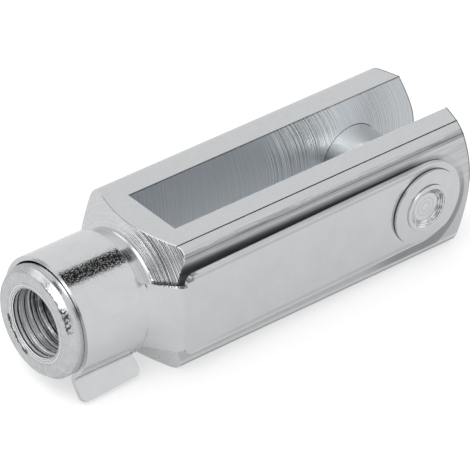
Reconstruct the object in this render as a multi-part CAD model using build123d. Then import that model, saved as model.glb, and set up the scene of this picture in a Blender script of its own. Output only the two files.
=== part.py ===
from build123d import *
import os
from math import asin, cos, hypot, radians, sin, sqrt, tan

# Tension rod clevis: a fork head machined from square bar, with a clevis pin
# that is riveted to a folding spring clip.
# Millimetres. The origin is on the pin axis, midway between the two ears.
# +X runs out through the ear ends, the neck points along -X, +Z is up,
# and the clip lies on the -Y side.

# Fork head
BAR_WIDTH = 16.0            # square bar, across the flats
CORNER_SIZE = 1.4           # the rolled corner takes this much off each flat
CORNER_BULGE = 0.36         # how far the corner's arc stands out of its chord
SLOT_WIDTH = 8.0            # gap between the ears
SLOT_REACH = 32.5           # slot bottom to pin axis
EAR_REACH = 10.2            # pin axis to the end of the bar
END_FLAT_RADIUS = 3.2       # small flat left at the end of the bar
TURNED_ANGLE = 30.0         # slope of both turned ends, from the cross plane
NECK_REACH = 48.4           # pin axis to the neck's end face
NECK_RADIUS = 6.55
NECK_LENGTH = 11.6          # end face to where the shoulder starts
NECK_CHAMFER_DEPTH = 0.7    # along the axis
NECK_CHAMFER_STEP = 0.5     # off the radius
SHOULDER_FILLET = 0.5       # root between the neck and the shoulder
PIN_HOLE_CLEARANCE = 0.05   # on the radius

# Thread bore, modelled at the thread's major diameter
THREAD_DIAMETER = 8.0
COUNTERSINK_STEP = 0.2      # out of the bore, on the radius

# Clevis pin, with a hollow rivet shank through the clip's eye
PIN_DIAMETER = 8.0
PIN_STAND_OUT = 0.5         # how far its far end stands out of the ear
PIN_CHAMFER = 0.5
SHANK_STEP = 1.65           # shoulder between the pin and its shank, on the radius
HOLLOW_MOUTH_WALL = 0.45    # rivet's lip outside the mouth of its hollow, on the radius
HOLLOW_FLOOR_WALL = 0.6     # shank's wall at the floor of its hollow
HOLLOW_DEPTH = 0.5          # below the rivet's lip
LIP_COVER = 0.45            # rivet's lip beyond the eye hole, on the radius
LIP_HEIGHT = 0.22
LIP_EDGE = 0.12             # rounding of the lip
SHOULDER_PLAY = 0.03        # between the pin's shoulder and the clip

# Spring clip, one strip of sheet
SHEET = 0.55
ARM_GAP = 0.11              # between the ear and the arm, at the pin
ARM_STAND_OFF = 1.0         # degrees that the arm leans off the fork
ARM_END_GAP = 1.06          # the flat arm ends this far before the turned shoulder
ARM_CORNER_RADIUS = 1.0     # where the arm narrows to the web
CLIP_LIFT = 0.05            # the eye's play lets the clip ride this high
EYE_CLEARANCE = 0.05        # eye hole to shank where they almost touch
BOSS_HEIGHT = 0.4           # the boss is pressed this far out of the arm
BOSS_WALL = 0.55            # raised boss beyond the hollow behind it, on the radius
ARM_RIM = 0.75              # sheet left flat round the boss
COLLAR_WIDTH = 8.0
COLLAR_SHOULDER_GAP = 2.0   # collar's back edge to where the shoulder starts
COLLAR_CLEARANCE = 0.02     # neck to collar where they almost touch
COLLAR_SIDE_SHIFT = 0.05    # the clip's pull carries the collar this far over
LIP_WRAP = 44.0             # degrees that the collar's front wraps below level
BACK_WRAP = 40.0            # degrees that the collar's back wraps below level
BACK_CORNER_RADIUS = 0.8    # both corners of the collar's back edge
WEB_WRAP = 35.6             # degrees of the collar that the web takes, each way
WEB_LEVEL = 0.4             # the collar's curve runs on this far into the web
WEB_BEND = 0.9              # length of each of the web's two bends
WEB_ROOT_RADIUS = 0.7       # where the web widens into the collar
WEB_FLATTENING = 1.5        # how fast the collar's curve runs out to the flat arm
WEB_FLAT_BOW = 0.003        # a section that bows less than this is flat
WEB_THINNING = 0.02         # the drawn web is this much thinner than the sheet
WEB_LAP = 0.3               # the web's ends run this far inside the collar and the arm
WEB_SECTIONS = 9
TAB_BEND = 83.0             # degrees that the tab turns outwards
TAB_BEND_RADIUS = 0.45      # inside the bend
TAB_LENGTH = 2.45           # flat of the tab, at its deeper side
TAB_SLANT = 0.35            # the other side is this much shorter
TAB_FLARE = 0.35            # how far the tab's corner splays towards the web
TAB_CORNER_RADIUS = 0.9

# How far a cutting shape runs past what it cuts
OVERRUN = 1.0

# Places worked out from the sizes above
half_bar = BAR_WIDTH / 2
slope = tan(radians(TURNED_ANGLE))
neck_end = -NECK_REACH
shoulder_start = neck_end + NECK_LENGTH
shoulder_end = shoulder_start + (half_bar - NECK_RADIUS) * slope
thread_radius = THREAD_DIAMETER / 2
countersink_radius = thread_radius + COUNTERSINK_STEP

pin_radius = PIN_DIAMETER / 2
pin_far_end = half_bar + PIN_STAND_OUT
shank_radius = pin_radius - SHANK_STEP
eye_radius = shank_radius + CLIP_LIFT + EYE_CLEARANCE
lip_radius = eye_radius + LIP_COVER
hollow_mouth_radius = lip_radius - HOLLOW_MOUTH_WALL
hollow_floor_radius = shank_radius - HOLLOW_FLOOR_WALL
boss_hollow_radius = pin_radius + CLIP_LIFT + EYE_CLEARANCE
boss_radius = boss_hollow_radius + BOSS_WALL

lean = tan(radians(ARM_STAND_OFF))
arm_end = shoulder_end + ARM_END_GAP
arm_half_height = boss_radius + ARM_RIM
arm_inner = -half_bar - ARM_GAP
arm_outer = arm_inner - SHEET
pin_shoulder = arm_inner - BOSS_HEIGHT + pin_radius * lean + SHOULDER_PLAY
lip_seat = arm_outer - BOSS_HEIGHT - lip_radius * lean

collar_centre = (COLLAR_SIDE_SHIFT, CLIP_LIFT)
collar_inner = NECK_RADIUS + COLLAR_CLEARANCE + hypot(*collar_centre)
collar_outer = collar_inner + SHEET
collar_end = shoulder_start - COLLAR_SHOULDER_GAP
collar_start = collar_end - COLLAR_WIDTH
collar_front = COLLAR_SIDE_SHIFT - collar_outer
web_half_height = collar_outer * sin(radians(WEB_WRAP))
web_run = arm_end - collar_end


def bar_section():
    """Square section whose rolled corners meet the flats in a faint edge."""
    flat = half_bar - CORNER_SIZE
    peak = half_bar - CORNER_SIZE / 2 + CORNER_BULGE * cos(radians(45))
    signs = [(1, 1), (-1, 1), (-1, -1), (1, -1)]
    edges = []
    for index, (sy, sz) in enumerate(signs):
        side_first = index % 2 == 0
        on_side = (sy * half_bar, sz * flat)
        on_top = (sy * flat, sz * half_bar)
        start, end = (on_side, on_top) if side_first else (on_top, on_side)
        edges.append((start, (sy * peak, sz * peak), end))
    lines = []
    for index, (start, middle, end) in enumerate(edges):
        following = edges[(index + 1) % len(edges)][0]
        lines.append(ThreePointArc(start, middle, end))
        lines.append(Line(end, following))
    return make_face(Curve() + lines)


def turned_envelope():
    """What the lathe leaves: neck, shoulder cone and the coned ear end."""
    beyond = BAR_WIDTH
    cone_rise = beyond - NECK_RADIUS
    shoulder_far = shoulder_start + cone_rise * slope
    end_near = EAR_REACH - (beyond - END_FLAT_RADIUS) * slope
    points = [
        (neck_end, 0),
        (neck_end, NECK_RADIUS - NECK_CHAMFER_STEP),
        (neck_end + NECK_CHAMFER_DEPTH, NECK_RADIUS),
        (shoulder_start, NECK_RADIUS),
        (shoulder_far, beyond),
        (end_near, beyond),
        (EAR_REACH, END_FLAT_RADIUS),
        (EAR_REACH, 0),
    ]
    outline = make_face(Polyline(*points, close=True))
    root = outline.vertices().sort_by_distance((shoulder_start, NECK_RADIUS))[0]
    outline = fillet(root, SHOULDER_FILLET)
    return revolve(outline, Axis.X)


def thread_bore():
    """Bore through the neck into the slot, with its countersink."""
    points = [
        (neck_end, 0),
        (neck_end, countersink_radius),
        (neck_end + COUNTERSINK_STEP, thread_radius),
        (-SLOT_REACH, thread_radius),
        (-SLOT_REACH, 0),
    ]
    return revolve(make_face(Polyline(*points, close=True)), Axis.X)


def slot():
    """Slot milled right through from top to bottom, open at the ear ends."""
    length = SLOT_REACH + EAR_REACH + OVERRUN
    return Pos(length / 2 - SLOT_REACH, 0, 0) * Box(length, SLOT_WIDTH, BAR_WIDTH + 2 * OVERRUN)


def fork_head():
    length = NECK_REACH + EAR_REACH
    section = Plane.YZ.offset(neck_end) * bar_section()
    bar = extrude(section, length)
    hole_radius = pin_radius + PIN_HOLE_CLEARANCE
    pin_hole = Rot(X=90) * Cylinder(hole_radius, BAR_WIDTH + 2 * OVERRUN)
    return (bar & turned_envelope()) - slot() - pin_hole - thread_bore()


def clevis_pin():
    """Pin with a hollow rivet shank, whose lip is flared over the clip's eye."""
    lip_top = LIP_HEIGHT - lip_seat
    hollow_floor = lip_top - HOLLOW_DEPTH
    points = [
        (0, -pin_far_end),
        (pin_radius - PIN_CHAMFER, -pin_far_end),
        (pin_radius, PIN_CHAMFER - pin_far_end),
        (pin_radius, -pin_shoulder),
        (shank_radius, -pin_shoulder),
        (shank_radius, -lip_seat),
        (lip_radius, -lip_seat),
        (lip_radius, lip_top),
        (hollow_mouth_radius, lip_top),
        (hollow_floor_radius, hollow_floor),
        (0, hollow_floor),
    ]
    profile = make_face(Polyline(*points, close=True))
    lip_corners = profile.vertices().group_by(Axis.Y)[-1]
    upright = revolve(fillet(lip_corners, LIP_EDGE), Axis.Y)
    return Rot(Z=180) * upright


def arm_outline():
    """The arm seen from the side: a round eye and a narrowed far end."""
    corner = arm_end + ARM_CORNER_RADIUS
    narrowing = arm_half_height - web_half_height
    turn = sin(radians(45))
    middle = (corner - ARM_CORNER_RADIUS * turn, web_half_height + narrowing * turn)
    top = [(arm_end, web_half_height), middle, (corner, arm_half_height)]
    bottom = [(x, -z) for x, z in reversed(top)]
    edges = [
        ThreePointArc(*top),
        Line(top[2], (0, arm_half_height)),
        ThreePointArc((0, arm_half_height), (arm_half_height, 0), (0, -arm_half_height)),
        Line((0, -arm_half_height), bottom[0]),
        ThreePointArc(*bottom),
        Line(bottom[2], top[0]),
    ]
    return make_face(Curve() + edges)


def leaning_slab(near, far):
    """Slab as large as the arm, between two distances out from its inner face."""
    eye_end = arm_half_height + OVERRUN
    corners = [(eye_end, near), (arm_end, near), (arm_end, far), (eye_end, far)]
    plan = [(x, arm_inner - out + x * lean) for x, out in corners]
    return extrude(make_face(Polyline(*plan, close=True)), arm_half_height + OVERRUN, both=True)


def clip_arm():
    """Flat arm that leans off the fork, with a boss pressed out round its eye."""
    across = Rot(X=90)
    outline = extrude(Plane.XZ * arm_outline(), BAR_WIDTH, both=True)
    arm = leaning_slab(0, SHEET) & outline
    arm += leaning_slab(BOSS_HEIGHT, BOSS_HEIGHT + SHEET) & across * Cylinder(boss_radius, 2 * BAR_WIDTH)
    arm -= leaning_slab(-OVERRUN, BOSS_HEIGHT) & across * Cylinder(boss_hollow_radius, 2 * BAR_WIDTH)
    arm -= Pos(0, arm_inner, 0) * across * Cylinder(eye_radius, BAR_WIDTH)
    return Pos(0, 0, CLIP_LIFT) * arm


def web_step(distance):
    """How far the sheet has stepped out, and how steeply, past the collar's edge."""
    run = web_run - WEB_LEVEL
    past = min(max(distance - WEB_LEVEL, 0), run)
    grade = 1 / (run - WEB_BEND)
    if past < WEB_BEND:
        return grade * past * past / (2 * WEB_BEND), grade * past / WEB_BEND
    left = run - past
    if left < WEB_BEND:
        return 1 - grade * left * left / (2 * WEB_BEND), grade * left / WEB_BEND
    return grade * (past - WEB_BEND / 2), grade


def web_half(distance):
    """Half the web's height, with the round root where it meets the collar."""
    left = min(max(WEB_ROOT_RADIUS - distance, 0), WEB_ROOT_RADIUS)
    return web_half_height + WEB_ROOT_RADIUS - sqrt(WEB_ROOT_RADIUS ** 2 - left ** 2)


def web_section(distance):
    """Sheet this far past the collar's edge: curved as the collar, then flat."""
    x = collar_end + distance
    step, steepness = web_step(distance)
    reach = arm_outer + x * lean - collar_front
    depth = SHEET * hypot(1, reach * steepness) - WEB_THINNING
    front = collar_front + reach * step + WEB_THINNING / 2
    half = web_half(distance)
    here = Plane.YZ.offset(x) * Pos(0, CLIP_LIFT)
    curvature = (1 - step) ** WEB_FLATTENING / collar_outer
    if curvature * half * half / 2 < WEB_FLAT_BOW:
        return here * Pos(front + depth / 2, 0) * Rectangle(depth, 2 * half)
    radius = 1 / curvature
    spread = asin(half / radius)
    centre = front + radius
    arcs = []
    for bow in (radius, radius - depth):
        upper, lower = [(centre - bow * cos(a), bow * sin(a)) for a in (spread, -spread)]
        arcs.append((upper, (centre - bow, 0), lower))
    outer, inner = arcs
    edges = [
        ThreePointArc(*outer),
        Line(outer[2], inner[2]),
        ThreePointArc(*reversed(inner)),
        Line(inner[0], outer[0]),
    ]
    return here * make_face(Curve() + edges)


def clip_web():
    """Stepped web that carries the sheet from the arm in to the collar."""
    length = web_run + 2 * WEB_LAP
    shares = [index / WEB_SECTIONS for index in range(WEB_SECTIONS + 1)]
    return loft([web_section(length * share - WEB_LAP) for share in shares])


def ring_sector(centre, inner, start, sweep):
    """Sheet curved round a centre in the YZ plane, angles in degrees from +Y."""
    cy, cz = centre
    outer = inner + SHEET
    angles = [radians(start + sweep * share) for share in (0, 0.5, 1)]
    rim = [(cy + outer * cos(a), cz + outer * sin(a)) for a in angles]
    bore = [(cy + inner * cos(a), cz + inner * sin(a)) for a in angles]
    edges = [
        ThreePointArc(*rim),
        Line(rim[2], bore[2]),
        ThreePointArc(*reversed(bore)),
        Line(bore[0], rim[0]),
    ]
    return make_face(Curve() + edges)


def clip_collar():
    """Open collar that snaps over the neck, with the bend of its thumb tab."""
    plane = Plane.YZ.offset(collar_start)
    ring = ring_sector(collar_centre, collar_inner, -BACK_WRAP, 180 + LIP_WRAP + BACK_WRAP)
    lip = radians(180 + LIP_WRAP)
    reach = collar_outer + TAB_BEND_RADIUS
    bend_centre = (collar_centre[0] + reach * cos(lip), collar_centre[1] + reach * sin(lip))
    bend = ring_sector(bend_centre, TAB_BEND_RADIUS, LIP_WRAP, -TAB_BEND)
    band = extrude(plane * ring, COLLAR_WIDTH) - back_corner_cuts()
    return band + extrude(plane * bend, COLLAR_WIDTH) + thumb_tab(bend_centre)


def sheet_plane(centre, radius, angle):
    """Plane in a curved sheet's middle, x along the fork, from its collar_start edge."""
    out = (cos(radians(angle)), sin(radians(angle)))
    origin = (collar_start, centre[0] + radius * out[0], centre[1] + radius * out[1])
    return Plane(origin=origin, x_dir=(1, 0, 0), z_dir=(0, *out))


def back_corner_cuts():
    """Rounds off the two corners of the collar's back edge."""
    seat = sheet_plane(collar_centre, collar_inner + SHEET / 2, -BACK_WRAP)
    radius = BACK_CORNER_RADIUS
    corner = Pos(radius / 2, radius / 2) * Rectangle(radius, radius) - Pos(radius, radius) * Circle(radius)
    far_corner = Pos(COLLAR_WIDTH, 0) * mirror(corner, Plane.YZ)
    return [extrude(seat * face, 2 * SHEET, both=True) for face in (corner, far_corner)]


def thumb_tab(bend_centre):
    """Flat of the tab, with round corners and a slightly slanted outer edge."""
    seat = sheet_plane(bend_centre, TAB_BEND_RADIUS + SHEET / 2, LIP_WRAP - TAB_BEND)
    far_side = [(COLLAR_WIDTH + TAB_FLARE, TAB_LENGTH - TAB_SLANT), (0, TAB_LENGTH)]
    face = make_face(Polyline((0, 0), (COLLAR_WIDTH, 0), *far_side, close=True))
    corners = [face.vertices().sort_by_distance(corner)[0] for corner in far_side]
    return extrude(seat * fillet(corners, TAB_CORNER_RADIUS), SHEET / 2, both=True)


def spring_clip():
    return clip_arm() + clip_web() + clip_collar()


def write(name, shape):
    solids = shape.solids()
    whole = solids[0] if len(solids) == 1 else Compound(children=solids)
    whole.label = name
    export_step(whole, f"parts/{name}.step")


os.makedirs("parts", exist_ok=True)
write("fork_head", fork_head())
write("clevis_pin", clevis_pin())
write("spring_clip", spring_clip())
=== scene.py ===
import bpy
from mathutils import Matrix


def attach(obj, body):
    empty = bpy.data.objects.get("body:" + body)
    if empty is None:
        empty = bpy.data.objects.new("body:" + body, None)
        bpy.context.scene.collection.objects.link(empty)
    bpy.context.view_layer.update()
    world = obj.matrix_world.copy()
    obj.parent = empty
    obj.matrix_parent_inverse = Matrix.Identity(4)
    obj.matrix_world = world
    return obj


bl_info = {
    "name": "Tension rod clevis",
    "version": (1, 0, 0),
    "blender": (4, 5, 0),
    "location": "View3D > Sidebar > Clevis",
    "description": "Finishes a packed tension rod clevis: fork head, pin and folding spring clip",
    "category": "Object",
}

from math import cos, pi, radians, sin, tan
from types import SimpleNamespace

import bpy
from bpy.props import FloatProperty, FloatVectorProperty, PointerProperty
from mathutils import Matrix, Vector

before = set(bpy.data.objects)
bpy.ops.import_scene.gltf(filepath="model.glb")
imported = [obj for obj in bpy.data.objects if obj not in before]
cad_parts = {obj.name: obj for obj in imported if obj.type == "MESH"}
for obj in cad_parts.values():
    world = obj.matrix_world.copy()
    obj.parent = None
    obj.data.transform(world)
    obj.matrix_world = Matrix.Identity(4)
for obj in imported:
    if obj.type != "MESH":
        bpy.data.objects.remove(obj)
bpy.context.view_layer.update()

MM = 0.001

# Places on the machined fork head, in millimetres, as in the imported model
NECK_END = -48.4
SHOULDER_START = -36.8
NECK_RADIUS = 6.55
TURNED_SLOPE = tan(radians(30))
SLOT_BOTTOM = -32.5
HALF_SLOT = 4.0
HALF_BAR = 8.0
CORNER_SIZE = 1.4
EAR_END = 10.2
END_FLAT_RADIUS = 3.2
FACE_MARGIN = 0.06
THREAD_MAJOR_RADIUS = 4.0
THREAD_PITCH = 1.25
THREAD_DEPTH = 0.68
COUNTERSINK_END = -48.2

# The thread's ridge, in turns: where it starts, by how much it is shorter than the bore, and
# the stretch at each end over which it fades
THREAD_START = 0.22
THREAD_SHORTENING = 0.75
THREAD_FADE = 0.25

# Its section: half the crest's width as a share of the pitch, the slope of its flanks, the
# rounding in millimetres, and how far its middle is inside the bore's wall as a share of its depth
THREAD_HALF_CREST = 1 / 8
THREAD_FLANK = tan(radians(30))
THREAD_ROUNDING = 0.08
THREAD_MIDDLE = 0.45

# Places on the pin and the spring clip, in millimetres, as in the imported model
HOLLOW_FLOOR_RADIUS = 1.75
HOLLOW_MOUTH_RADIUS = 2.45
ARM_HALF_HEIGHT = 5.4
ARM_FACE = -8.66
ARM_LEAN = tan(radians(1.0))
ARM_END = -34.903
BOSS_RADIUS = 4.65
CLIP_LIFT = 0.05
COLLAR_END = -38.8
WEB_ROOT_HEIGHT = 4.9
STEP_MARGIN = 0.03

# The arm's lower edge is raised by the lift, which grows from nothing between the two heights
LOW_EDGE_LIFT = 0.42
LIFT_START = -3.6
LIFT_END = -5.0

# The edges' rounding: its width on the pin, its shares of the full width past the neck's end
# and at the boss, and the radius from which the neck's end has the full width
PIN_ROUNDING = 0.06
SHARE_PAST_NECK_END = 0.42
SHARE_AT_BOSS = 0.4
NECK_END_RIM = 5.5

# Marks on the neck's end face, as centre, half width and fade: turn in degrees round the
# axis from the clip's side, and radius in millimetres. The glint is a painted highlight
GLINT_TURN = (57, 13, 6)
GLINT_RADIUS = (6.3, 0.2, 0.05)
NICK_TURN = (50, 26, 8)
NICK_RADIUS = (6.0, 0.05, 0.06)
SCRATCH_TURN = (-133, 26, 4)
SCRATCH_RADIUS = (4.72, 0.1, 0.05)
GLEAM_TURN = (-135, 24, 6)
GLEAM_RADIUS = (4.55, 0.06, 0.05)

# Patches of dark specks on that face: turn, radius and strength
SPECKS = (
    ((33, 10, 6), (6.1, 0.25, 0.15), 1.0),
    ((70, 4, 4), (6.1, 0.25, 0.15), 0.6),
    ((-157, 7, 4), (4.7, 0.22, 0.12), 1.0),
    ((-110, 4, 3), (4.7, 0.22, 0.12), 1.0),
)

# Stretches of the turned shoulder, as turns: bold dark grooves, made bold by painted
# reflections and with a painted highlight on their rim, and a dark rim past the top
BOLD_GROOVES_TURN = (45, 27, 12)
FAR_RIM_TURN = (100, 22, 6)

# Stretches of the slot's faces along X: the mill's bold arcs, and a brighter part by the pin
BEFORE_PIN = (-7.5, 2.0, 4.5)
BESIDE_PIN = (-2.5, 1.5, 4.0)

# Where the photograph was taken from: angles in degrees, distances in millimetres
CAMERA_AZIMUTH = -41.397
CAMERA_ELEVATION = 34.958
CAMERA_ROLL = 2.423
CAMERA_DISTANCE = 521.98
CAMERA_ACROSS = 15.588
CAMERA_UP = 7.218
CAMERA_LENS = 354.67

# The floor: level in millimetres, size in metres, and its glow as the camera sees it and as
# the metal mirrors it
FLOOR_LEVEL = -8.0
FLOOR_SIZE = 3.0
FLOOR_GLOW = 0.55
FLOOR_GLOW_MIRRORED = 0.33

# The lamp, in metres and watts
LAMP_PLACE = (-0.45, -0.1, 0.75)
LAMP_AIM = (-0.02, 0, 0)
LAMP_SIZE = 0.35
LAMP_POWER = 1.0

# Parts of the studio that are lighter or darker than its walls: the direction,
# the angles in degrees where the part is full and where it has faded out, and its brightness
SKY_ZONES = (
    ((-0.50, -0.20, 0.84), 14, 34, 1.7),
    ((-0.24, 0.60, 0.76), 12, 26, 1.9),
    ((0.542, 0.015, 0.840), 12.6, 14.4, 0.02),
    ((-0.98, 0.05, 0.08), 14, 24, 0.2),
    ((-0.50, -0.76, 0.42), 7, 13, 0.2),
)


class Signal:
    """One output in a node tree. Numbers on it take Python's operators."""

    def __init__(self, tree, socket):
        self.tree = tree
        self.socket = socket

    def math(self, operation, *values):
        return self.tree.node("ShaderNodeMath", {"operation": operation}, dict(enumerate(values)))

    def output(self, name):
        return Signal(self.tree, self.socket.node.outputs[name])

    def __add__(self, other):
        return self.math("ADD", self, other)

    def __sub__(self, other):
        return self.math("SUBTRACT", self, other)

    def __rsub__(self, other):
        return self.math("SUBTRACT", other, self)

    def __mul__(self, other):
        return self.math("MULTIPLY", self, other)

    def __pow__(self, other):
        return self.math("POWER", self, other)

    def __abs__(self):
        return self.math("ABSOLUTE", self)

    def above(self, level):
        return self.math("GREATER_THAN", self, level)

    def below(self, level):
        return self.math("LESS_THAN", self, level)

    def toward(self, other, share):
        """Mixed with the other value by its share."""
        return self + (other - self) * share

    def dimmed(self, mask, amount):
        """Less by the amount where the mask is one."""
        return self * (1 - mask * amount)

    def lit(self, mask, amount):
        """More by the amount where the mask is one."""
        return self * (1 + mask * amount)

    def swing(self, amount):
        """A noise that runs from 0 to 1, made to swing about zero by the amount."""
        return (self - 0.5) * amount

    __radd__ = __add__
    __rmul__ = __mul__


class Tree:
    """Adds nodes to a material's, the world's or a Geometry Nodes tree."""

    def __init__(self, tree):
        self.tree = tree
        tree.nodes.clear()

    def node(self, kind, settings=None, inputs=None, output=0):
        made = self.tree.nodes.new(kind)
        for name, value in (settings or {}).items():
            setattr(made, name, value)
        for key, value in (inputs or {}).items():
            if isinstance(value, Signal):
                self.tree.links.new(value.socket, made.inputs[key])
            else:
                made.inputs[key].default_value = value
        return Signal(self, made.outputs[output]) if made.outputs else made

    def scaled(self, vector, factors):
        return self.node("ShaderNodeVectorMath", {"operation": "MULTIPLY"}, {0: vector, 1: factors})

    def parts(self, vector):
        whole = self.node("ShaderNodeSeparateXYZ", None, {0: vector})
        return [whole.output(axis) for axis in "XYZ"]

    def noise(self, vector, scale, detail=2.0, roughness=0.5):
        inputs = {"Vector": vector, "Scale": scale, "Detail": detail, "Roughness": roughness}
        return self.node("ShaderNodeTexNoise", None, inputs)

    def line_noise(self, place, scale, detail=2.0, roughness=0.5):
        inputs = {"W": place, "Scale": scale, "Detail": detail, "Roughness": roughness}
        return self.node("ShaderNodeTexNoise", {"noise_dimensions": "1D"}, inputs)

    def ease(self, value, start, end, low=0.0, high=1.0):
        """Runs smoothly from low to high while value runs from start to end."""
        inputs = {"Value": value, "From Min": start, "From Max": end, "To Min": low, "To Max": high}
        return self.node("ShaderNodeMapRange", {"interpolation_type": "SMOOTHSTEP"}, inputs)

    def window(self, value, centre, half, fade):
        """One within half of the centre, and nothing past the fade."""
        return self.ease(abs(value - centre), half + fade, half)

    def blend(self, share, first, second):
        """Mixes two colours."""
        settings = {"data_type": "RGBA", "clamp_factor": True}
        return self.node("ShaderNodeMix", settings, {0: share, 6: first, 7: second}, 2)

    def dot(self, first, second):
        settings = {"operation": "DOT_PRODUCT"}
        return self.node("ShaderNodeVectorMath", settings, {0: first, 1: second}, "Value")


def length(first, second):
    """Length of the vector with these two parts."""
    return (first * first + second * second) ** 0.5


def grey(value, warmth=0.0):
    return (value * (1 + warmth), value, value * (1 - warmth), 1.0)


def surface_place(tree):
    """Object coordinates in millimetres, whole and as x, y and z."""
    place = tree.node("ShaderNodeTexCoord", None, None, "Object")
    whole = tree.scaled(place, (1 / MM, 1 / MM, 1 / MM))
    return whole, tree.parts(whole)


def metal(tree, colour, roughness, height, depth, normal=None, metallic=1.0):
    """Bare metal shader. The height runs from 0 to 1 and the depth is in millimetres."""
    inputs = {"Strength": 1.0, "Distance": depth * MM, "Height": height}
    if normal:
        inputs["Normal"] = normal
    bump = tree.node("ShaderNodeBump", None, inputs)
    inputs = {"Base Color": colour, "Metallic": metallic, "Roughness": roughness, "Normal": bump}
    shader = tree.node("ShaderNodeBsdfPrincipled", None, inputs)
    tree.node("ShaderNodeOutputMaterial", None, {"Surface": shader})


def unit(tree, vector):
    return tree.node("ShaderNodeVectorMath", {"operation": "NORMALIZE"}, {0: vector})


def leaned_normal(tree, y, z, amount):
    """The surface's normal, turned from the top or bottom towards the sides."""
    to_side = amount * y.math("SIGN", y)
    to_level = amount * z.math("SIGN", z) * -1
    across = tree.node("ShaderNodeCombineXYZ", None, {"Y": to_side, "Z": to_level})
    normal = tree.node("ShaderNodeNewGeometry", None, None, "Normal")
    return unit(tree, tree.node("ShaderNodeVectorMath", {"operation": "ADD"}, {0: normal, 1: across}))


def new_material(name):
    material = bpy.data.materials.new(name)
    material.use_nodes = True
    return material, Tree(material.node_tree)


def turn_from_side(y, z):
    """Angle in degrees round the X axis: 0 on the clip's side, 90 on top and -90 below."""
    return z.math("ARCTAN2", z, y * -1) * (180 / pi)


def past_arm_edge(x, z):
    """How far a point lies outside the outline of the clip's arm, which has a round end."""
    return length(x.math("MAXIMUM", x, 0.0), z - CLIP_LIFT) - ARM_HALF_HEIGHT


def fork_places(tree, x, y, z):
    """Where a point lies on the fork head: its measures, and masks that are one on their part."""
    at = SimpleNamespace(x=x, y=y, z=z)
    at.radius = length(y, z)
    at.turn = turn_from_side(y, z)
    at.across = abs(y) - abs(z)
    at.by_clip = y.below(0)
    at.upper = at.by_clip * z.above(0)
    at.past_shoulder = x - SHOULDER_START - (at.radius - NECK_RADIUS) * TURNED_SLOPE
    at.past_ear = EAR_END - x - (at.radius - END_FLAT_RADIUS) * TURNED_SLOPE
    at.past_arm = past_arm_edge(x, z)

    in_slot = tree.window(abs(y), HALF_SLOT, 0.5 * FACE_MARGIN, 0.5 * FACE_MARGIN)
    at.in_slot = in_slot * tree.ease(x, SLOT_BOTTOM - FACE_MARGIN, SLOT_BOTTOM)
    at.turned = tree.ease(at.past_shoulder, 2 * FACE_MARGIN, FACE_MARGIN)
    at.on_cone = at.turned * tree.ease(at.radius, NECK_RADIUS + 0.22, NECK_RADIUS + 0.34)
    at.on_neck = at.turned * (1 - at.on_cone)
    at.in_bore = tree.ease(at.radius, THREAD_MAJOR_RADIUS + 0.2, THREAD_MAJOR_RADIUS + 0.05)
    at.in_bore = at.in_bore * (1 - at.in_slot) * tree.ease(x, SLOT_BOTTOM + 0.5, SLOT_BOTTOM - 0.5)
    at.at_end = tree.ease(x, NECK_END + 0.95, NECK_END + 0.75) * (1 - at.in_bore)
    at.on_fillet = at.on_neck * tree.ease(x, SHOULDER_START - 0.3, SHOULDER_START - 0.1)
    at.on_side = tree.ease(abs(y), HALF_BAR - 0.7, HALF_BAR - 0.3) * (1 - at.turned)
    edge = HALF_BAR - CORNER_SIZE
    past_edges = [tree.ease(abs(place), edge - 0.05, edge + 0.05) for place in (y, z)]
    at.on_corner = past_edges[0] * past_edges[1] * (1 - at.turned)
    at.on_near_corner = at.on_corner * at.upper
    return at


def fork_grain(tree, place, at):
    """The plate's mottle and the tools' lines, as noises that run from 0 to 1."""
    grain = SimpleNamespace()
    grain.fine = tree.noise(place, 3.5, 4.0, 0.6)
    grain.mottle = tree.noise(place, 1.7)
    grain.patches = tree.noise(place, 0.7, 3.0, 0.6)
    grain.drawn = tree.noise(tree.scaled(place, (0.12, 3.0, 3.0)), 1.0, 5.0, 0.6)
    grain.specks = tree.ease(tree.noise(place, 4.0, 1.0), 0.48, 0.54)
    wander = tree.noise(place, 0.8).swing(0.05)
    grain.grooves = tree.ease(tree.line_noise(at.radius + wander, 8.5, 1.5, 0.6), 0.4, 0.6)
    grain.rings = tree.ease(tree.line_noise(at.x + wander, 5.0, 3.0, 0.75), 0.34, 0.66)
    slanted = at.x - at.radius + wander * 2
    grain.streaks = tree.ease(tree.line_noise(slanted, 3.6, 2.0, 0.7), 0.42, 0.58)
    grain.chipped = grain.mottle.swing(0.35) + grain.fine.swing(0.3)
    return grain


def slot_marks(tree, x, z):
    """Brightness and height of the slot mill's arcs, fine along the slot and bold before the pin."""
    arc = x + z * z * tree.ease(x, -26.0, -9.0, 1 / 70, 1 / 24)
    fine = tree.ease(tree.line_noise(arc, 7.5, 2.0, 0.6), 0.32, 0.68)
    bold = tree.ease(tree.line_noise(arc + 7.3, 5.8, 1.5, 0.6), 0.42, 0.58)
    near_top = tree.ease(z, 0.0, 4.5, 0.2, 1.0)
    before_pin = tree.window(x, *BEFORE_PIN) * near_top
    value = 1.04 + fine * 0.28 - tree.ease(x, -4.0, 4.0) * 0.14
    value = value + before_pin * (bold * 1.1 - 0.48) + tree.window(x, *BESIDE_PIN) * 0.3
    height = fine * 0.9 + bold * before_pin * 3.0
    return value, height


def neck_value(tree, at, grain):
    """Brightness of the turned neck, its root and its end face. The fillet at the root has a
    painted highlight up to 55 degrees round from the clip's side and painted shade past 75 degrees.
    """
    mouth = tree.window(at.radius, THREAD_MAJOR_RADIUS + 0.42, 0.3, 0.1)
    end_face = 0.08 + mouth * grain.streaks.swing(0.6) + grain.mottle.swing(0.3) + grain.fine.swing(0.3)
    # Painted highlight on the root's fillet, turning to painted shade towards its top
    root = 0.3 - tree.ease(at.turn, 55, 75) * 0.5
    return 0.9 + grain.rings * (1 - at.at_end) * 0.12 + at.on_fillet * root + at.at_end * end_face


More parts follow.
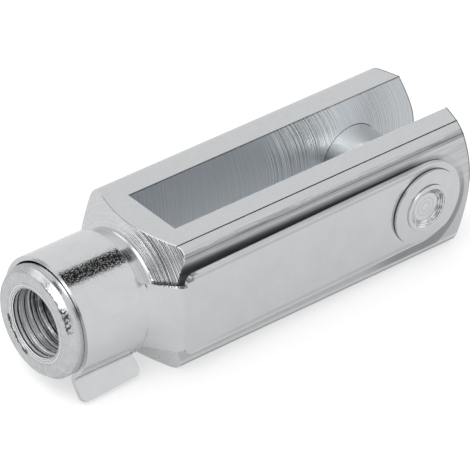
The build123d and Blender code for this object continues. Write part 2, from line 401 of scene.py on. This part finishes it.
def bore_value(tree, at, grain):
    """Brightness of the bore: painted shade that deepens past its mouth, starting further in on its
    lower side, and a painted highlight on the thread's crests.
    """
    # Painted highlight on the thread's crests
    crest = tree.ease(at.radius, THREAD_MAJOR_RADIUS - 0.45, THREAD_MAJOR_RADIUS - 0.58)
    # Painted shade into the bore, starting further in on its lower side
    inward = at.x - NECK_END + grain.mottle.swing(4) - tree.window(at.turn, -100, 30, 40) * 1.2
    return (0.12 + grain.streaks * 2.5) * tree.ease(inward, 1.6, 4.2, 1.0, 0.3) + crest * 0.9


def face_value(tree, at, grain, slot_value):
    """Brightness of the fork head's faces, before its marks."""
    flat = 1 + grain.fine.swing(0.03) + grain.mottle.swing(0.07) + grain.patches.swing(0.06)
    # The cone's turning grooves, painted lighter on its lower part; in the stretch of bold grooves
    # painted reflections make them dark and bold
    cone = 1.1 + grain.grooves.swing(0.1) + tree.ease(at.turn, -10, -50) * 0.15
    cone = cone.toward(0.26 + grain.grooves * 1.4, tree.window(at.turn, *BOLD_GROOVES_TURN))
    value = flat.toward(slot_value, at.in_slot).toward(cone, at.on_cone)
    value = value.toward(neck_value(tree, at, grain), at.on_neck)
    return value.toward(bore_value(tree, at, grain), at.in_bore)


def mark_corner(tree, at, grain, value):
    """Rolled corner above the clip: painted dark reflection lines along it, drawing lines, and
    painted shade towards the side, whose mask is returned too.
    """
    ragged = grain.drawn.swing(0.5) + grain.fine.swing(0.35)
    # Painted shade on the corner's lower part, towards the side
    corner_shade = at.on_near_corner * tree.ease(at.across + ragged, 0.35, 0.55)
    # Painted dark reflection lines along the corner: at its top edge and part way down
    top_line = tree.window(at.across + grain.fine.swing(0.12), 0.08 - CORNER_SIZE, 0.08, 0.05)
    low_line = tree.window(at.across + grain.drawn.swing(0.12), 0.95, 0.04, 0.06)
    drawn_lines = tree.window(at.across, 0.55, 0.3, 0.35) * tree.ease(grain.drawn, 0.5, 0.6)
    value = value.dimmed(corner_shade, 0.3).dimmed(at.on_near_corner * top_line, 0.95)
    value = value.dimmed(at.on_near_corner * low_line, 0.45)
    return value.dimmed(at.on_near_corner * drawn_lines, 0.35), corner_shade


def mark_side(tree, at, grain, value):
    """Side by the clip: a painted shadow round the arm's end, painted shade along its top,
    painted light low down and a painted dark reflection on the lower corner.
    """
    # Painted shadow of the arm on the side round its end: lined, weaker at its upper right and a little
    # darker low down
    arm_shadow = at.on_side * at.by_clip * (1 - at.on_corner) * tree.ease(at.x, -9.0, -3.0)
    arm_shadow = arm_shadow * tree.ease(at.past_arm + at.z * 0.1 + grain.drawn.swing(0.3), 1.3, 1.05)
    arm_shadow = arm_shadow.dimmed(tree.ease(at.x, 2.0, 3.2) * tree.ease(at.z, 0.5, 3.0), 0.75)
    lined = tree.line_noise(at.past_arm * 3 + at.x * 0.1, 2.0, 2.0, 0.7).swing(0.6)
    value = value.dimmed(arm_shadow, 0.32 + lined + tree.ease(at.z, 3.0, -3.0) * 0.1)
    beside_arm = at.on_side * tree.ease(at.past_arm, -0.9, -0.3)
    # Painted shade in the gap along the arm's top
    crevice_shade = tree.ease(at.past_arm + grain.drawn.swing(0.2), 1.25, 0.35) * tree.ease(at.x, 0.5, -2.5)
    value = value.dimmed(beside_arm * at.upper * crevice_shade, 0.6)
    value = value.lit(beside_arm * at.upper, grain.drawn.swing(0.8))
    # Below the arm: faint painted shade beside it, a band of painted light low down, and a painted dark
    # reflection on the lower corner
    lower = at.by_clip * at.z.below(0) * (1 - at.turned)
    low_band = lower * tree.ease(at.z + grain.drawn.swing(0.2), -6.4, -6.65)
    low_rim = lower * at.on_corner * tree.ease(at.across, 1.0, 0.8)
    return value.dimmed(lower * beside_arm, 0.04).lit(low_band, 0.3).dimmed(low_rim, 0.35)


def mark_rims(tree, at, grain, value):
    """Thin lines where the turned ends and the slot meet the bar's faces: dark on the ears' ends,
    a painted highlight on the shoulder's near rim, a dark rim past the top, and a painted dark
    reflection along the slot's far top edge.
    """
    ear_line = tree.window(at.past_ear + grain.chipped * 0.3, 0.1, 0.04, 0.05)
    ear_line = ear_line * at.z.above(0) * tree.ease(at.past_ear, 0.02, 0.04)
    off_cone = tree.ease(at.past_shoulder, 0.02, 0.04)
    # Painted highlight along the shoulder's rim
    near_rim = tree.window(at.past_shoulder + grain.chipped * 0.4, 0.13, 0.1, 0.05)
    near_rim = near_rim * off_cone * tree.window(at.turn, *BOLD_GROOVES_TURN)
    far_rim = tree.window(at.past_shoulder, 0.1, 0.04, 0.05)
    far_rim = far_rim * off_cone * tree.window(at.turn, *FAR_RIM_TURN)
    # Painted dark reflection line along the slot's far top edge
    slot_line = tree.ease(at.z + grain.chipped * 0.3, HALF_BAR - 0.22, HALF_BAR - 0.12)
    slot_line = slot_line * at.in_slot * at.y.above(0)
    return value.dimmed(ear_line, 0.65).lit(near_rim, 0.5).dimmed(slot_line, 0.6).dimmed(far_rim, 0.4)


def mark_neck_end(tree, at, grain, value):
    """Chipped chamfer of the neck's end with a painted glint and painted shade over its upper part,
    and the scratch on its face.
    """

    def arc(turn, radius, wear=0.0):
        return at.at_end * tree.window(at.turn, *turn) * tree.window(at.radius + wear, *radius)

    torn = grain.chipped * 1.8
    specks = grain.specks * sum(arc(turn, radius) * strength for turn, radius, strength in SPECKS)
    # Painted glint on the chamfer
    value = value.lit(arc(GLINT_TURN, GLINT_RADIUS, grain.chipped), 0.35)
    value = value.dimmed(arc(NICK_TURN, NICK_RADIUS, grain.chipped), 0.7).dimmed(specks, 0.85)
    value = value.dimmed(arc(SCRATCH_TURN, SCRATCH_RADIUS, torn), 0.95)
    value = value.lit(arc(GLEAM_TURN, GLEAM_RADIUS, torn), 0.3)
    # Painted shade over the chamfer's upper part
    return value.dimmed(at.at_end * tree.ease(at.turn, 64, 76) * tree.ease(at.radius, 5.8, 6.1), 0.25)


def fork_height(at, grain, slot_height):
    """Height of the grain and the tools' lines."""
    height = grain.drawn * 0.15 + grain.fine * 0.08
    height = height.toward(grain.grooves * 1.3, at.on_cone)
    height = height.toward(grain.rings * 0.4 * (1 - at.on_fillet) + grain.fine * 0.2, at.on_neck)
    return height.toward(slot_height, at.in_slot) + grain.streaks * 2.0 * at.in_bore


def fork_finish(look):
    """Zinc plate over drawn bar, milled slot faces and turned ends."""
    material, tree = new_material("zinc_plated_steel")
    place, (x, y, z) = surface_place(tree)
    at = fork_places(tree, x, y, z)
    grain = fork_grain(tree, place, at)
    slot_value, slot_height = slot_marks(tree, x, z)

    value = face_value(tree, at, grain, slot_value)
    value, corner_shade = mark_corner(tree, at, grain, value)
    for mark in (mark_side, mark_rims, mark_neck_end):
        value = mark(tree, at, grain, value)

    roughness = look.fork_roughness + grain.fine.swing(0.12) + grain.patches.swing(0.08)
    roughness = roughness + at.in_slot * 0.12 + at.on_side * 0.17 + corner_shade * 0.1
    roughness = roughness - at.on_neck * (1 - at.at_end) * 0.15
    white = tree.blend(at.in_slot, grey(1.0, -0.022), grey(1.0, -0.04))
    colour = tree.blend(value * look.fork_tone, grey(0.0), white)
    height = fork_height(at, grain, slot_height)
    normal = leaned_normal(tree, y, z, at.on_near_corner * (0.21 - at.across * 0.25))
    metallic = 1 - at.on_side * 0.08 - at.in_bore * 0.4
    metal(tree, colour, roughness, height, look.grain_depth, normal, metallic)
    return material


def pin_finish(look):
    """Turned and plated pin, with the marks of the cutter in its hollow shank, painted glints and
    painted shade on the hollow's wall, and painted light on its -X side in the slot.
    """
    material, tree = new_material("zinc_plated_pin")
    place, (x, y, z) = surface_place(tree)
    radius = length(x, z)
    in_hollow = tree.ease(radius, HOLLOW_MOUTH_RADIUS + 0.05, HOLLOW_MOUTH_RADIUS - 0.05) * y.below(0)
    on_wall = in_hollow * tree.ease(radius, HOLLOW_FLOOR_RADIUS - 0.05, HOLLOW_FLOOR_RADIUS + 0.05)
    in_slot = tree.ease(abs(y), HALF_SLOT + 0.1, HALF_SLOT)

    fine = tree.noise(place, 4.0, 3.0, 0.6)
    turning = tree.line_noise(y, 6.0, 3.0, 0.7)
    wander = tree.noise(place, 1.2).swing(0.2)
    circles = tree.ease(tree.line_noise(radius + wander, 5.0, 3.0, 0.7), 0.34, 0.66)
    glints = tree.ease(tree.noise(place, 1.2, 2.0, 0.6), 0.4, 0.6)

    # Painted shade on the +X side of the hollow's wall
    shaded = tree.ease(x, 0.2, 1.3) * (0.75 - circles * 0.8)
    value = 1 + fine.swing(0.1) + circles.swing(0.32) * in_hollow
    # Painted glints on the wall's cutter rings
    value = value.toward(0.8 + glints * circles * 0.8 - shaded, on_wall)
    # In the slot: turning lines, and painted light on the pin's -X side, a little darker past it
    value = value.dimmed(in_slot, tree.ease(x, -3.2, 0.5) * 0.05 - 0.04 - turning.swing(0.2))
    height = fine * 0.3 + turning * 0.5 * (1 - in_hollow) + circles * (in_hollow * 0.4 + on_wall * 2.5)
    roughness = look.pin_roughness + fine.swing(0.12)
    colour = tree.blend(value * look.pin_tone, grey(0.0), grey(1.0, -0.012))
    metal(tree, colour, roughness, height, look.grain_depth)
    return material


def seam_normal(tree, x, y, z, on_web):
    """The sheet's normal, even where the drawn web runs out into the collar and the arm."""
    at_collar = on_web * tree.window(x, COLLAR_END, 0.12, 0.2)
    at_arm = on_web * tree.window(x, ARM_END, 0.12, 0.2)
    from_axis = tree.node("ShaderNodeCombineXYZ", None, {"Y": y, "Z": z - CLIP_LIFT})
    off_arm = (-ARM_LEAN, -1.0, 0.0)
    mix = {"data_type": "VECTOR"}
    even = tree.node("ShaderNodeMix", mix, {0: at_arm, 4: unit(tree, from_axis), 5: off_arm}, 1)
    settings = {"vector_type": "NORMAL", "convert_from": "OBJECT", "convert_to": "WORLD"}
    even = tree.node("ShaderNodeVectorTransform", settings, {0: even})
    normal = tree.node("ShaderNodeNewGeometry", None, None, "Normal")
    return tree.node("ShaderNodeMix", mix, {0: at_collar + at_arm, 4: normal, 5: even}, 1)


def mark_arm_edges(tree, x, z, on_arm, on_edge, value):
    """Lines along the arm's rims: streaked above; below, a band of painted shade, a painted glint at
    the edge and painted shade on the edge's rounding.
    """
    past_low_edge = z + ARM_HALF_HEIGHT - CLIP_LIFT - LOW_EDGE_LIFT
    # Band of painted shade along the lower edge
    low_band = on_arm * tree.window(past_low_edge, 0.42, 0.2, 0.08)
    low_band = low_band * tree.ease(x, ARM_END + 1, ARM_END + 8)
    # Painted glint along the lower edge
    low_glint = on_arm * tree.window(past_low_edge, 0.06, 0.06, 0.05)
    top_rim = on_arm * tree.window(past_arm_edge(x, z), -0.42, 0.16, 0.06)
    top_rim = top_rim * z.above(0) * tree.ease(x, 2.5, 0.0)
    lines = tree.line_noise(z * 2 + x * 0.05, 2.0, 2.0, 0.7)
    # Painted shade on the lower edge's rounding
    value = value.dimmed(on_edge * z.below(-3.0), 0.55).dimmed(low_band, 0.12)
    return value.dimmed(top_rim, 0.1 + lines * 0.16).lit(low_glint, 0.14)


def clip_finish(look):
    """Plated spring steel sheet: smooth and faintly mottled, with lined rims, painted light on its top
    edge, and painted shade at the boss's root, on the arm's top corner by the web and under the web's
    top edge.
    """
    material, tree = new_material("spring_steel")
    place, (x, y, z) = surface_place(tree)
    out_of_face = x * ARM_LEAN + ARM_FACE - y
    # Painted shade at the root of the boss's wall
    boss_root_shade = tree.window(length(x, z - CLIP_LIFT), BOSS_RADIUS, 0.03, 0.02)
    boss_root_shade = boss_root_shade * tree.ease(out_of_face, 0.2, 0.06)
    web_half_height = WEB_ROOT_HEIGHT + 0.3
    on_web = tree.ease(abs(z - CLIP_LIFT), web_half_height + 0.1, web_half_height) * y.below(0)
    on_arm = x.above(ARM_END) * y.below(-HALF_BAR)
    on_edge = on_arm * tree.ease(out_of_face, -0.02, -0.06)
    # Painted light on the top edge's rounding, which is also less metallic
    top_edge = on_edge * z.above(3.0) * tree.ease(x, ARM_END + 0.9, ARM_END + 1.7)
    # Painted shade over the highlight on the arm's top corner by the web
    arm_corner = on_arm * tree.ease(x, ARM_END + 1.0, ARM_END + 0.6) * tree.ease(z, 4.7, 4.9)
    # Painted shadow under the web's top edge by the collar
    web_root_shade = tree.window(x, COLLAR_END + 0.2, 0.2, 0.35) * tree.window(z, 4.55, 0.2, 0.35) * y.below(0)
    top_of_collar = x.below(COLLAR_END) * tree.ease(z, 1.5, 3.0)

    fine = tree.noise(place, 5.0, 3.0, 0.6)
    broad = tree.noise(place, 0.4)
    patches = tree.noise(place, 1.6, 3.0, 0.6)
    pits = tree.ease(tree.noise(place, 5.5, 2.0, 0.6), 0.52, 0.68) * top_of_collar

    value = (1 + broad.swing(0.1) + patches.swing(0.04)).dimmed(boss_root_shade, 0.88).lit(top_edge, 0.4)
    value = mark_arm_edges(tree, x, z, on_arm, on_edge, value)
    value = value.dimmed(arm_corner, 0.3 + patches * 0.5).dimmed(web_root_shade, 0.45)
    height = fine * 0.55 + patches * 0.4 + pits * 0.4
    roughness = look.clip_roughness + fine.swing(0.1) + broad.swing(0.05)
    colour = tree.blend(value * look.clip_tone, grey(0.0), grey(1.0, -0.014))
    normal = seam_normal(tree, x, y, z, on_web)
    metal(tree, colour, roughness, height, look.grain_depth, normal, 1 - top_edge * 0.35)
    return material


def node_group(name, inputs, takes_geometry=True):
    """New Geometry Nodes group with number inputs. Returns it, its tree and its input node."""
    group = bpy.data.node_groups.new(name, "GeometryNodeTree")
    if takes_geometry:
        group.interface.new_socket("Geometry", in_out="INPUT", socket_type="NodeSocketGeometry")
    group.interface.new_socket("Geometry", in_out="OUTPUT", socket_type="NodeSocketGeometry")
    for label, value in inputs.items():
        socket = group.interface.new_socket(label, in_out="INPUT", socket_type="NodeSocketFloat")
        socket.default_value = value
    tree = Tree(group)
    return group, tree, tree.node("NodeGroupInput")


def edge_tree(node, crease, soft_zone, weight, shift):
    """Geometry Nodes tree that shades smooth between sharp edges and weighs the corners to round."""
    angles = {"Crease angle": crease, "Corner angle": radians(30)}
    group, tree, start = node_group(node + "_edges", angles)
    x, y, z = tree.parts(tree.node("GeometryNodeInputPosition"))
    angle = tree.node("GeometryNodeInputMeshEdgeAngle")
    kept = 1 - soft_zone(x, y, z) if soft_zone else 1
    sharp = angle.output("Unsigned Angle").above(start.output("Crease angle")) * kept
    round_over = angle.output("Signed Angle").above(start.output("Corner angle")) * kept
    if weight:
        round_over = round_over * weight(x, y, z)
    if shift:
        offset = tree.node("ShaderNodeCombineXYZ", None, {"Z": shift(tree, x, y, z)})
        start = tree.node("GeometryNodeSetPosition", None, {"Geometry": start, "Offset": offset})
    smooth_faces = tree.node("GeometryNodeSetShadeSmooth", None, {"Geometry": start})
    smooth_edges = tree.node("GeometryNodeSetShadeSmooth", {"domain": "EDGE"},
                             {"Geometry": smooth_faces, "Shade Smooth": 1 - sharp})
    weighed = tree.node("GeometryNodeStoreNamedAttribute", {"data_type": "FLOAT", "domain": "EDGE"},
                        {"Geometry": smooth_edges, "Name": "bevel_weight_edge", "Value": round_over})
    tree.node("NodeGroupOutput", None, {"Geometry": weighed})
    return group


def soften(node, width, crease, merge=0.002, soft_zone=None, weight=None, shift=None):
    """Rounds a CAD node's sharp edges, so that they catch the light. Sizes in millimetres."""
    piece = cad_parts[node]
    weld = piece.modifiers.new("weld", "WELD")
    weld.merge_threshold = merge * MM
    flats = piece.modifiers.new("flats", "DECIMATE")
    flats.decimate_type = "DISSOLVE"
    flats.angle_limit = radians(0.4)
    edges = piece.modifiers.new("edges", "NODES")
    edges.node_group = edge_tree(node, radians(crease), soft_zone, weight, shift)
    bevel = piece.modifiers.new("rounded edges", "BEVEL")
    bevel.width = width * MM
    bevel.segments = 4
    bevel.limit_method = "WEIGHT"
    bevel.miter_outer = "MITER_ARC"
    even = piece.modifiers.new("even shading", "WEIGHTED_NORMAL")
    even.keep_sharp = True
    even.weight = 60
    return piece


def web_ends(x, y, z):
    """Where the drawn web laps the collar and the arm, which isn't an edge on the real sheet."""
    at_collar = abs(x - COLLAR_END * MM).below(STEP_MARGIN * MM)
    at_arm = abs(x - ARM_END * MM).below(STEP_MARGIN * MM)
    on_web = abs(z - CLIP_LIFT * MM).below(WEB_ROOT_HEIGHT * MM) * y.below(0)
    return (at_collar + at_arm) * on_web


def softer_at_neck_end(x, y, z):
    """The rounding is widest where the neck's end is chamfered."""
    on_chamfer = x.below((NECK_END + 0.9) * MM) * length(y, z).above(NECK_END_RIM * MM)
    return SHARE_PAST_NECK_END + on_chamfer * (1 - SHARE_PAST_NECK_END)


def trimmed_arm(tree, x, y, z):
    """How far the arm's lower edge is raised, which leaves a strip of the bar in sight."""
    on_arm = x.above((ARM_END - 0.5) * MM) * y.below(-HALF_BAR * MM)
    return on_arm * tree.ease(z, LIFT_START * MM, LIFT_END * MM) * (LOW_EDGE_LIFT * MM)


def finer_at_boss(x, y, z):
    """The rounding is finer on the boss and the eye than on the sheet's outline."""
    on_boss = length(x, z - CLIP_LIFT * MM).below((BOSS_RADIUS + 0.2) * MM)
    return 1 - on_boss * (1 - SHARE_AT_BOSS)


def dress(piece, material):
    for slot in piece.material_slots:
        slot.material = material


def group_socket(group, name):
    """Identifier of a node group's input."""
    for item in group.interface.items_tree:
        if item.name == name and item.in_out == "INPUT":
            return item.identifier
    raise KeyError(name)


def thread_tree(material):
    """Geometry Nodes tree: a thread's ridge swept along its helix, fading out at both ends."""
    sizes = {
        "Pitch": THREAD_PITCH * MM,
        "Turns": 12.0,
        "Root radius": THREAD_MAJOR_RADIUS * MM,
        "Depth": THREAD_DEPTH * MM,
        "Half crest": THREAD_PITCH * THREAD_HALF_CREST * MM,
    }
    group, tree, start = node_group("thread_ridge", sizes, takes_geometry=False)
    pitch, turns, root, depth, half_crest = (start.output(label) for label in sizes)

    spiral = tree.node("GeometryNodeCurveSpiral", None, {
        "Resolution": 72, "Rotations": turns, "Start Radius": root, "End Radius": root,
        "Height": pitch * turns})
    done = tree.node("GeometryNodeSplineParameter", None, None, "Factor") * turns
    to_end = done.math("MINIMUM", done, turns - done)
    thickness = tree.ease(to_end, 0.0, THREAD_FADE, 0.02)
    helix = tree.node("GeometryNodeSetCurveRadius", None, {"Curve": spiral, "Radius": thickness})
    helix = tree.node("GeometryNodeSetCurveNormal", {"mode": "Z_UP"}, {"Curve": helix})

    root_width = (half_crest + depth * THREAD_FLANK) * 2
    profile = tree.node("GeometryNodeCurvePrimitiveQuadrilateral", {"mode": "TRAPEZOID"}, {
        "Bottom Width": root_width, "Top Width": half_crest * 2, "Height": depth, "Offset": 0.0})
    profile = tree.node("GeometryNodeFilletCurve", {"mode": "POLY"}, {
        "Curve": profile, "Radius": THREAD_ROUNDING * MM, "Count": 2})
    inward = tree.node("ShaderNodeCombineXYZ", None, {"X": depth * -THREAD_MIDDLE})
    profile = tree.node("GeometryNodeTransform", None, {
        "Geometry": profile, "Rotation": (0, 0, pi / 2), "Translation": inward})

    ridge = tree.node("GeometryNodeCurveToMesh", None, {
        "Curve": helix, "Profile Curve": profile, "Fill Caps": True,
        "Scale": tree.node("GeometryNodeInputRadius")})
    ridge = tree.node("GeometryNodeRealizeInstances", None, {"Geometry": ridge})
    ridge = tree.node("GeometryNodeSetMaterial", None, {"Geometry": ridge, "Material": material})
    tree.node("NodeGroupOutput", None, {"Geometry": ridge})
    return group


def made_by_nodes(name, group, values, place):
    """Runs a Geometry Nodes tree and returns its result as a plain mesh object."""
    holder = bpy.data.objects.new(name, bpy.data.meshes.new(name + "_seed"))
    bpy.context.scene.collection.objects.link(holder)
    modifier = holder.modifiers.new("nodes", "NODES")
    modifier.node_group = group
    for label, value in values.items():
        modifier[group_socket(group, label)] = value
    graph = bpy.context.evaluated_depsgraph_get()
    mesh = bpy.data.meshes.new_from_object(holder.evaluated_get(graph), depsgraph=graph)
    holder.modifiers.clear()
    mesh.transform(place)
    mesh.name = name
    holder.data = mesh
    return holder


def length_setting(name, description, default, least=0.0):
    """Property for a length, whose default and least value are given in millimetres."""
    return FloatProperty(
        name=name, description=description, default=default * MM, min=least * MM,
        unit="LENGTH", precision=5)


def share_setting(name, description, default):
    return FloatProperty(
        name=name, description=description, default=default, min=0, max=1, subtype="FACTOR")


class ClevisLook(bpy.types.PropertyGroup):
    """Sizes and finishes that a user would change."""

    edge_rounding: length_setting("Edge rounding", "Width of the machined edges' rounding", 0.42)
    sheet_rounding: length_setting("Sheet rounding", "Width of the rounding on the clip's edges", 0.18)
    thread_pitch: length_setting(
        "Thread pitch", "Distance between the thread's turns", THREAD_PITCH, 0.1)
    thread_depth: length_setting("Thread depth", "Height of the thread's ridge", THREAD_DEPTH)
    fork_tone: share_setting("Fork tone", "Brightness of the fork head's plate", 0.60)
    fork_roughness: share_setting("Fork roughness", "Roughness of the fork head's plate", 0.26)
    pin_tone: share_setting("Pin tone", "Brightness of the pin's plate", 0.66)
    pin_roughness: share_setting("Pin roughness", "Roughness of the pin's plate", 0.14)
    clip_tone: share_setting("Clip tone", "Brightness of the spring clip's plate", 0.64)
    clip_roughness: share_setting("Clip roughness", "Roughness of the spring clip's plate", 0.11)
    grain_depth: FloatProperty(
        name="Grain depth", description="Depth of the plate's grain and tool marks, in millimetres",
        default=0.012, min=0)


class ClevisStage(bpy.types.PropertyGroup):
    """Light and ground around the clevis."""

    sky_level: FloatProperty(
        name="Sky level", description="Brightness of the studio's light walls", default=0.95, min=0)
    floor_colour: FloatVectorProperty(
        name="Floor colour", description="Colour of the pale floor", default=(0.5, 0.5, 0.5),
        subtype="COLOR", min=0, max=1)


class CLEVIS_OT_fork_head(bpy.types.Operator):
    """Rounds the fork head's edges and gives it its machined, zinc plated finish"""

    bl_idname = "clevis.fork_head"
    bl_label = "Finish fork head"

    def execute(self, context):
        look = context.scene.clevis_look
        width = look.edge_rounding / MM
        piece = soften("fork_head", width, crease=8.5, weight=softer_at_neck_end)
        dress(piece, fork_finish(look))
        return {"FINISHED"}


class CLEVIS_OT_thread(bpy.types.Operator):
    """Adds the thread's ridge in the fork head's bore"""

    bl_idname = "clevis.thread"
    bl_label = "Add thread"

    def execute(self, context):
        look = context.scene.clevis_look
        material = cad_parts["fork_head"].material_slots[0].material
        bore_length = (SLOT_BOTTOM - COUNTERSINK_END) * MM
        values = {
            "Pitch": look.thread_pitch,
            "Turns": bore_length / look.thread_pitch - THREAD_SHORTENING,
            "Root radius": THREAD_MAJOR_RADIUS * MM,
            "Depth": look.thread_depth,
            "Half crest": look.thread_pitch * THREAD_HALF_CREST,
        }
        start = Vector((COUNTERSINK_END * MM + THREAD_START * look.thread_pitch, 0, 0))
        place = Matrix.Translation(start) @ Matrix.Rotation(pi / 2, 4, "Y")
        ridge = made_by_nodes("thread_ridge", thread_tree(material), values, place)
        if not ridge.data.polygons:
            raise RuntimeError("the thread's tree made no faces")
        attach(ridge, "fork")
        return {"FINISHED"}


class CLEVIS_OT_pin(bpy.types.Operator):
    """Rounds the clevis pin's edges and gives it its turned finish"""

    bl_idname = "clevis.pin"
    bl_label = "Finish pin"

    def execute(self, context):
        look = context.scene.clevis_look
        piece = soften("clevis_pin", width=PIN_ROUNDING, crease=12.0)
        dress(piece, pin_finish(look))
        return {"FINISHED"}


class CLEVIS_OT_spring_clip(bpy.types.Operator):
    """Rounds the spring clip's edges and gives it its smooth plated finish"""

    bl_idname = "clevis.spring_clip"
    bl_label = "Finish spring clip"

    def execute(self, context):
        look = context.scene.clevis_look
        width = look.sheet_rounding / MM
        shaping = {"soft_zone": web_ends, "weight": finer_at_boss, "shift": trimmed_arm}
        piece = soften("spring_clip", width, crease=20.0, merge=0.012, **shaping)
        dress(piece, clip_finish(look))
        return {"FINISHED"}


def floor_material(stage):
    material, tree = new_material("pale_floor")
    rays = tree.node("ShaderNodeLightPath", None, None, "Is Camera Ray")
    seen = rays + rays.output("Is Glossy Ray") + rays.output("Is Transmission Ray")
    matt = tree.node("ShaderNodeBsdfDiffuse", None, {"Color": (*stage.floor_colour, 1)})
    lift = rays * FLOOR_GLOW + (seen - rays) * FLOOR_GLOW_MIRRORED
    glow = tree.node("ShaderNodeEmission", None, {"Color": (1, 1, 1, 1), "Strength": lift})
    both = tree.node("ShaderNodeAddShader", None, {0: matt, 1: glow})
    tree.node("ShaderNodeOutputMaterial", None, {"Surface": both})
    return material


def make_floor(stage):
    half = FLOOR_SIZE / 2
    corners = [(-half, -half), (half, -half), (half, half), (-half, half)]
    mesh = bpy.data.meshes.new("floor")
    mesh.from_pydata([(px, py, FLOOR_LEVEL * MM) for px, py in corners], [], [(0, 1, 2, 3)])
    floor = bpy.data.objects.new("floor", mesh)
    bpy.context.scene.collection.objects.link(floor)
    mesh.materials.append(floor_material(stage))


def make_world(stage):
    """Even studio light with lighter and darker parts, and white where the camera sees it."""
    world = bpy.data.worlds.new("studio")
    world.use_nodes = True
    tree = Tree(world.node_tree)
    direction = tree.node("ShaderNodeTexCoord", None, None, "Generated")
    level = stage.sky_level
    for toward, inner, outer, zone_level in SKY_ZONES:
        nearness = tree.dot(direction, tuple(Vector(toward).normalized()))
        zone = tree.ease(nearness, cos(radians(outer)), cos(radians(inner)))
        level = level + zone * (zone_level - level)
    rays = tree.node("ShaderNodeLightPath", None, None, "Is Camera Ray")
    seen = rays + rays.output("Is Transmission Ray")
    strength = level + seen * (1 - level)
    light = tree.node("ShaderNodeBackground", None, {"Color": (1, 1, 1, 1), "Strength": strength})
    tree.node("ShaderNodeOutputWorld", None, {"Surface": light})
    bpy.context.scene.world = world


def make_lamp(name, place, size, power):
    """Soft square lamp that looks at the clevis. Place and size in metres."""
    lamp = bpy.data.lights.new(name, "AREA")
    lamp.shape = "SQUARE"
    lamp.size = size
    lamp.energy = power
    holder = bpy.data.objects.new(name, lamp)
    bpy.context.scene.collection.objects.link(holder)
    holder.location = place
    sight = Vector(LAMP_AIM) - Vector(place)
    holder.rotation_euler = sight.to_track_quat("-Z", "Y").to_euler()


def make_camera():
    azimuth = radians(CAMERA_AZIMUTH)
    elevation = radians(CAMERA_ELEVATION)
    roll = radians(CAMERA_ROLL)
    back = Vector((sin(azimuth) * cos(elevation), -cos(azimuth) * cos(elevation), sin(elevation)))
    level = Vector((cos(azimuth), sin(azimuth), 0))
    rise = back.cross(level)
    right = level * cos(roll) + rise * sin(roll)
    up = rise * cos(roll) - level * sin(roll)
    place = (back * CAMERA_DISTANCE - right * CAMERA_ACROSS - up * CAMERA_UP) * MM
    lens = bpy.data.cameras.new("camera")
    lens.sensor_fit = "HORIZONTAL"
    lens.sensor_width = 36.0
    lens.lens = CAMERA_LENS
    lens.clip_start = 0.01
    lens.clip_end = 20.0
    camera = bpy.data.objects.new("camera", lens)
    bpy.context.scene.collection.objects.link(camera)
    turn = Matrix((right, up, back)).transposed().to_4x4()
    camera.matrix_world = Matrix.Translation(place) @ turn
    bpy.context.scene.camera = camera


class CLEVIS_OT_stage(bpy.types.Operator):
    """Adds the pale floor, the studio light and the camera"""

    bl_idname = "clevis.stage"
    bl_label = "Build stage"

    def execute(self, context):
        stage = context.scene.clevis_stage
        make_floor(stage)
        make_world(stage)
        make_lamp("key_lamp", LAMP_PLACE, LAMP_SIZE, LAMP_POWER)
        make_camera()
        context.scene.view_settings.view_transform = "Standard"
        return {"FINISHED"}


class CLEVIS_PT_panel(bpy.types.Panel):
    """Lists the steps that finish the clevis"""

    bl_idname = "CLEVIS_PT_panel"
    bl_label = "Clevis"
    bl_space_type = "VIEW_3D"
    bl_region_type = "UI"
    bl_category = "Clevis"

    def draw(self, context):
        for group in (context.scene.clevis_look, context.scene.clevis_stage):
            column = self.layout.column()
            for name in group.__annotations__:
                column.prop(group, name)
        for step in STEPS:
            self.layout.operator(step.bl_idname)


STEPS = (
    CLEVIS_OT_fork_head,
    CLEVIS_OT_thread,
    CLEVIS_OT_pin,
    CLEVIS_OT_spring_clip,
    CLEVIS_OT_stage,
)
CLASSES = (ClevisLook, ClevisStage, *STEPS, CLEVIS_PT_panel)


def register():
    for cls in CLASSES:
        bpy.utils.register_class(cls)
    bpy.types.Scene.clevis_look = PointerProperty(type=ClevisLook)
    bpy.types.Scene.clevis_stage = PointerProperty(type=ClevisStage)


def unregister():
    del bpy.types.Scene.clevis_stage
    del bpy.types.Scene.clevis_look
    for cls in reversed(CLASSES):
        bpy.utils.unregister_class(cls)


def main():
    register()
    for step in STEPS:
        group, name = step.bl_idname.split(".")
        getattr(getattr(bpy.ops, group), name)()


if __name__ == "__main__":
    main()
